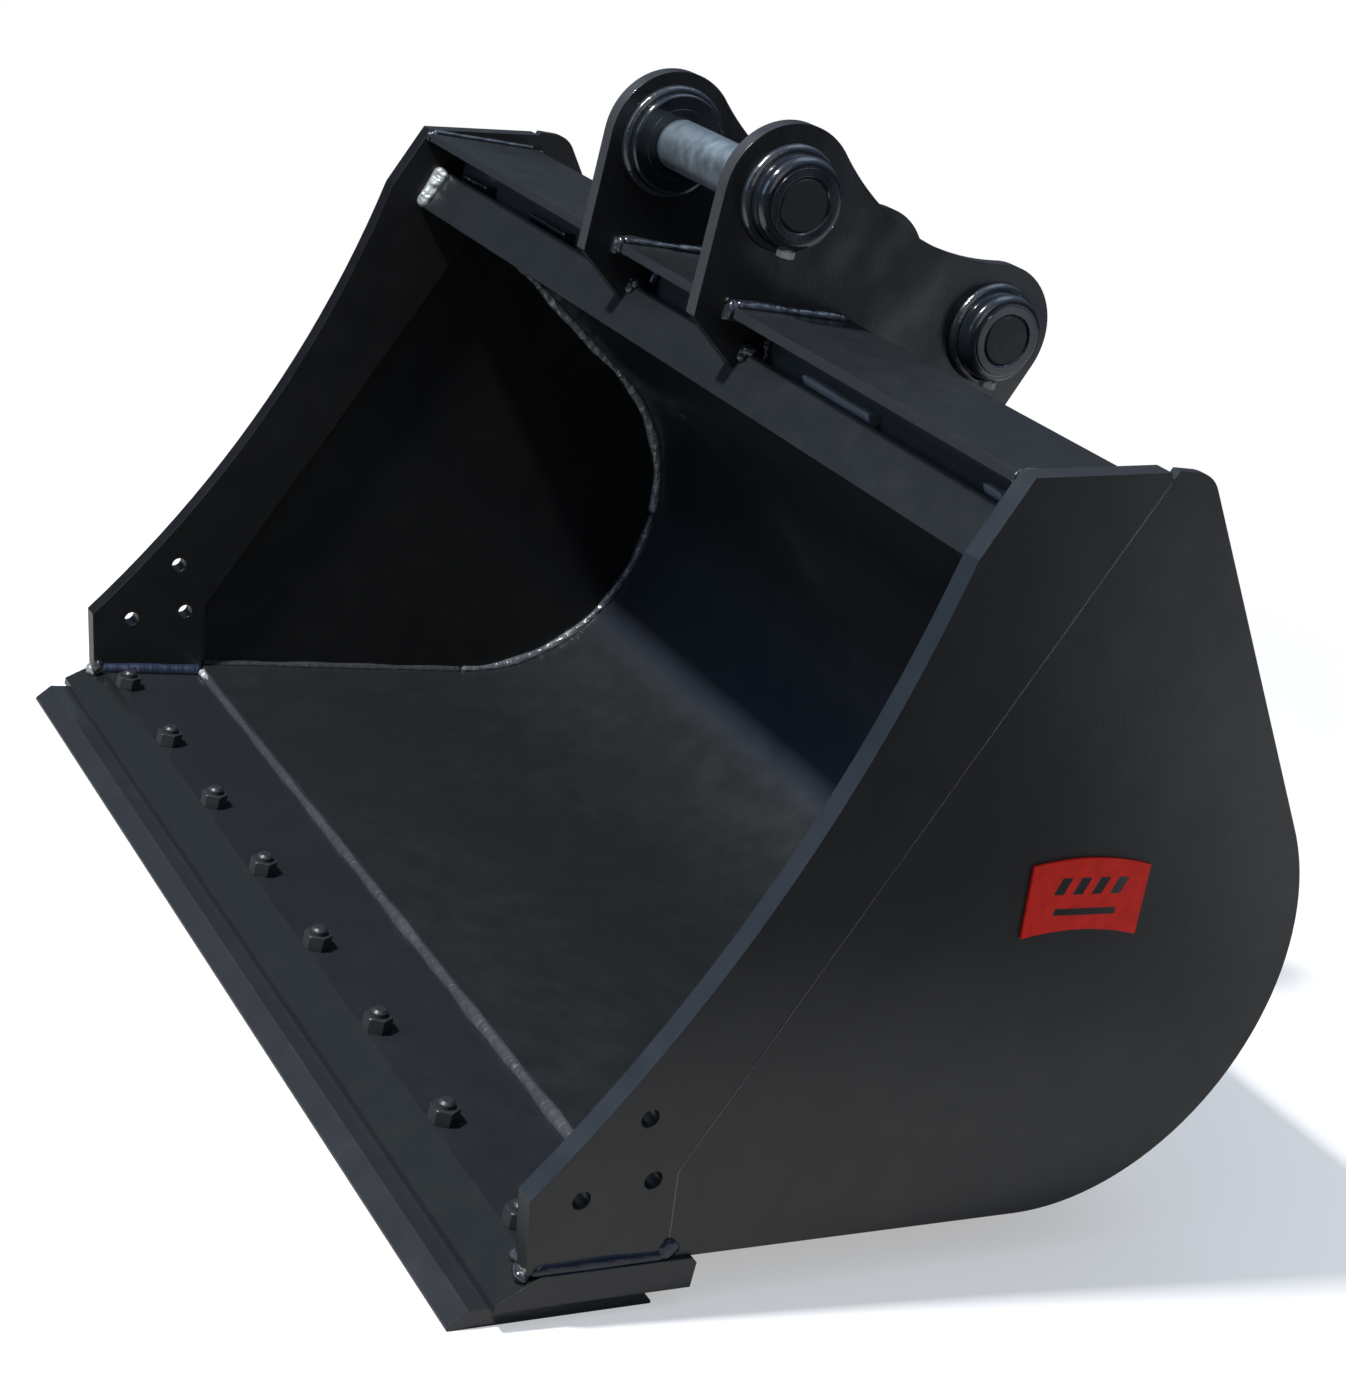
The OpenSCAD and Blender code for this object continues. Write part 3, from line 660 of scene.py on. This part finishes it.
# the slot in each ear that sits over the cover, the web and the lip: point, direction away
ear_seat = [((367, 781), (-0.4, 0.9)), ((365.5, 767.5), (-0.9, -0.4)), ((425, 767.5), (0, -1)),
            ((431.5, 760), (-0.7, -0.7)), ((431.5, 722), (-1, 0)), ((425, 713), (-0.2, 1)),
            (tuple(LIP_BACK + np.array([1, 1])), (0.1, 1)),
            (tuple(LIP_TOP + np.array([-1, 1])), (-0.6, 0.8)),
            (tuple(LIP_TOP - 16 * LIP_UP), tuple(-LIP_REAR))]
for s, side in ((1, "right"), (-1, "left")):
    for k, (x0, d) in enumerate(((EAR_OUT, 1), (EAR_IN, -1))):
        xs, dx = s * x0, X(s * d)
        tag = f"{side}_{k}"
        bead(f"weld_ear_top_{tag}", [Vector((xs, 370, 780)), Vector((xs, 534, 780))],
             dx, yz((0, 1)), 10.0, 9.0, bulge=0.25, ripple=1.0, pitch=9.0, wander=0.18,
             seed=51 + k + s)
        bead(f"weld_ear_back_{tag}",
             [Vector((xs, *(FOLD + 14 * BACK_U))), Vector((xs, *(FOLD + 304 * BACK_U)))],
             dx, yz(BACK_N), 8.0, 8.0, bulge=0.3, ripple=0.9, pitch=7.0, seed=55 + k + s)
        bead(f"weld_ear_seat_{tag}", [Vector((xs, *p)) for p, away in ear_seat],
             dx, [yz(away) for p, away in ear_seat], 11.0, 9.0, bulge=0.35, ripple=2.4, pitch=9.0,
             wander=0.3, seed=61 + k + s)
        blob(f"weld_ear_nose_{tag}", (xs + s * d * 4.0, 366, 776), (9.5, 7.5, 12.0), seed=2 + k + s)
        blob(f"weld_ear_root_{tag}", (xs + s * d * 5.0, 406, 730), (13.0, 12.0, 9.0),
             seed=5 + k + s)
    # front corner of the strip's foot, the end of its outer weld, the cover's front corner
    # the left front corner is a painted highlight, a bright glint
    blob(f"weld_corner_{side}", (s * 738, 19, -93), (12.5, 8.0, 8.0), seed=9 + s,
         mat="weld_painted_highlight" if s < 0 else None)
    blob(f"weld_corner_in_{side}", (s * 722, 22, -82), (8.0, 9.0, 10.0), seed=14 + s)
    # the seam ends take the dark blue painted reflection
    blob(f"weld_seam_end_{side}", (s * 750.2, 182, -77), (4.0, 12.5, 12.5), seed=12 + s,
         mat="weld_painted_blue_reflection")
    blob(f"weld_cover_corner_{side}", (s * 722, 370, 777), (6.0, 6.0, 5.5), seed=17 + s)

# ---------------------------------------------------------------- hub welds
ang = [R(7.5 * i) for i in range(49)]
us = [Vector((0, math.cos(a), math.sin(a))) for a in ang]
for tag, c in (("front", PIN_F), ("rear", PIN_B)):
    for s, side in ((1, "right"), (-1, "left")):
        for k, (x0, r, d, leg) in enumerate(((EAR_OUT, 57.0, 1, 10.0), (EAR_IN, 64.0, -1, 9.0))):
            path = [Vector((s * x0, c[0] + r * math.cos(a), c[1] + r * math.sin(a))) for a in ang]
            o = bead(f"weld_hub_{tag}_{side}_{k}", path, us, X(s * d), leg, leg, bulge=0.3,
                     ripple=0.35, pitch=7.0, closed=True, seed=k + 2 * s + 5, wander=0.06)
            if (tag, side, k) == ("front", "right", 0):
                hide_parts("hub_welds")

# ---------------------------------------------------------------- name plate: dark marks on it
plate_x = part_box("badge")[1].x * 1000


def slot_piece(name, corners):
    verts = [q(plate_x + dx, *c) for dx in (-0.6, 0.25) for c in corners]
    n = len(corners)
    faces = [tuple(range(n)), tuple(range(2 * n - 1, n - 1, -1))]
    faces += [(i, (i + 1) % n, n + (i + 1) % n, n + i) for i in range(n)]
    return piece(name, verts, faces, "ear_paint", smooth=False)


for k in range(4):
    y0 = 556 + 27 * k
    slot_piece(f"badge_slot_{k}", [(y0, 322), (y0 + 14, 322), (y0 + 21, 342), (y0 + 7, 342)])
slot_piece("badge_slot_bar", [(564, 297), (652, 297), (652, 305), (564, 305)])

# ---------------------------------------------------------------- stage
floor_mat, nt, b = nodes_of("studio floor")
tc = nt.nodes.new("ShaderNodeTexCoord").outputs["Object"]
length = nt.nodes.new("ShaderNodeVectorMath")
length.operation = "LENGTH"
nt.links.new(tc, length.inputs[0])
pale = mixc(nt, noise(nt, tc, 0.8, 3.0), (0.80, 0.80, 0.80), (0.84, 0.84, 0.835))
# what the black paint mirrors: a ground that is light near the bucket and in a wedge behind it
# on the right, with a darker patch between them. Straight to the camera the floor is plain.
gs = nt.nodes.new("ShaderNodeSeparateXYZ")
nt.links.new(tc, gs.inputs[0])
gx = math_node(nt, "MAXIMUM", gs.outputs["X"], 0.01)
slope = ramp(nt, math_node(nt, "DIVIDE", gs.outputs["Y"], gx), 0.66, 0.89)
wedge = math_node(nt, "MULTIPLY", slope, ramp(nt, gx, 0.3, 0.8))
near = math_node(nt, "MAXIMUM", ramp(nt, length.outputs["Value"], 1.2, 2.9, 1.0, 0.0), wedge)
patch = math_node(nt, "MULTIPLY", ramp(nt, gx, 1.12, 1.48), math_node(nt, "SUBTRACT", 1.0, slope))
near = math_node(nt, "MULTIPLY", near, math_node(nt, "SUBTRACT", 1.0, patch))
lit = mixc(nt, near, (0.034, 0.036, 0.040), (0.38, 0.37, 0.355))
lit = mixc(nt, math_node(nt, "MULTIPLY", wedge, ramp(nt, gx, 1.2, 2.2)), lit, (0.92, 0.90, 0.87))
lp = nt.nodes.new("ShaderNodeLightPath")
nt.links.new(mixc(nt, lp.outputs["Is Camera Ray"], lit, pale), b.inputs["Base Color"])
b.inputs["Roughness"].default_value = 0.9
b.inputs["Specular IOR Level"].default_value = 0.1
glow = nt.nodes.new("ShaderNodeEmission")
glow.inputs["Color"].default_value = (1.0, 1.0, 1.0, 1.0)
amount = ramp(nt, length.outputs["Value"], 0.9, 3.2, 0.42, 1.0)
amount = math_node(nt, "MULTIPLY", amount, lp.outputs["Is Camera Ray"])
mix = nt.nodes.new("ShaderNodeMixShader")
out = [n for n in nt.nodes if n.type == "OUTPUT_MATERIAL"][0]
nt.links.new(amount, mix.inputs[0])
nt.links.new(b.outputs[0], mix.inputs[1])
nt.links.new(glow.outputs[0], mix.inputs[2])
nt.links.new(mix.outputs[0], out.inputs[0])
me = bpy.data.meshes.new("floor")
reach = 60.0
me.from_pydata([(-reach, -reach, 0), (reach, -reach, 0), (reach, reach, 0), (-reach, reach, 0)],
               [], [(0, 1, 2, 3)])
me.materials.append(floor_mat)
floor = bpy.data.objects.new("floor", me)
bpy.context.scene.collection.objects.link(floor)

world = bpy.data.worlds.new("studio")
bpy.context.scene.world = world
world.use_nodes = True
wn = world.node_tree
wn.nodes.clear()
wout = wn.nodes.new("ShaderNodeOutputWorld")
wlp = wn.nodes.new("ShaderNodeLightPath")
wtc = wn.nodes.new("ShaderNodeTexCoord")
sep = wn.nodes.new("ShaderNodeSeparateXYZ")
wn.links.new(wtc.outputs["Generated"], sep.inputs[0])
sky = mixc(wn, ramp(wn, sep.outputs["Z"], 0.26, 0.80), (0.050, 0.058, 0.078), (0.34, 0.45, 0.62))
dim = wn.nodes.new("ShaderNodeBackground")
wn.links.new(sky, dim.inputs["Color"])
white = wn.nodes.new("ShaderNodeBackground")
white.inputs["Color"].default_value = (1.0, 1.0, 1.0, 1.0)
wmix = wn.nodes.new("ShaderNodeMixShader")
wn.links.new(wlp.outputs["Is Camera Ray"], wmix.inputs[0])
wn.links.new(dim.outputs[0], wmix.inputs[1])
wn.links.new(white.outputs[0], wmix.inputs[2])
wn.links.new(wmix.outputs[0], wout.inputs[0])


def area(name, loc, target, size, power, color):
    L = bpy.data.lights.new(name, "AREA")
    L.shape = "SQUARE"
    L.size = size
    L.energy = power
    L.color = color
    o = bpy.data.objects.new(name, L)
    bpy.context.scene.collection.objects.link(o)
    o.location = loc
    o.rotation_mode = "QUATERNION"
    o.rotation_quaternion = (Vector(target) - Vector(loc)).to_track_quat("-Z", "Y")
    return o


area("key", (-0.12, -4.49, 6.50), (0, 0, 0.5), 0.4, 1060, (1.0, 0.99, 0.97))
area("front", (-0.6, -5.6, 2.6), (0, 0, 0.5), 3.0, 55, (0.52, 0.75, 1.0))
area("top", (0.6, 1.2, 4.6), (0, 0, 0.6), 2.4, 25, (0.70, 0.85, 1.0))
area("side", (5.2, -0.6, 2.6), (0, 0, 0.4), 3.0, 24, (1.0, 0.98, 0.95))

# ---------------------------------------------------------------- camera
cam_data = bpy.data.cameras.new("camera")
cam = bpy.data.objects.new("camera", cam_data)
bpy.context.scene.collection.objects.link(cam)
# it stands in front on the right, looks down a little and is rolled about its own axis
TURN, TILT, ROLL = 55.3085, 74.8327, 14.6044
aim = (Matrix.Rotation(R(TURN), 4, "Z") @ Matrix.Rotation(R(TILT), 4, "X")
       @ Matrix.Rotation(R(ROLL), 4, "Z"))
cam.matrix_world = Matrix.Translation(q(2474.4, -1185.7, 1308.8)) @ aim
cam_data.sensor_width = 36
cam_data.sensor_fit = "AUTO"
cam_data.lens = 62.04
cam_data.shift_x = -0.0339
cam_data.shift_y = -0.1452
cam_data.clip_end = 200
bpy.context.scene.camera = cam
bpy.context.scene.view_settings.view_transform = "Standard"
bpy.context.scene.view_settings.look = "None"
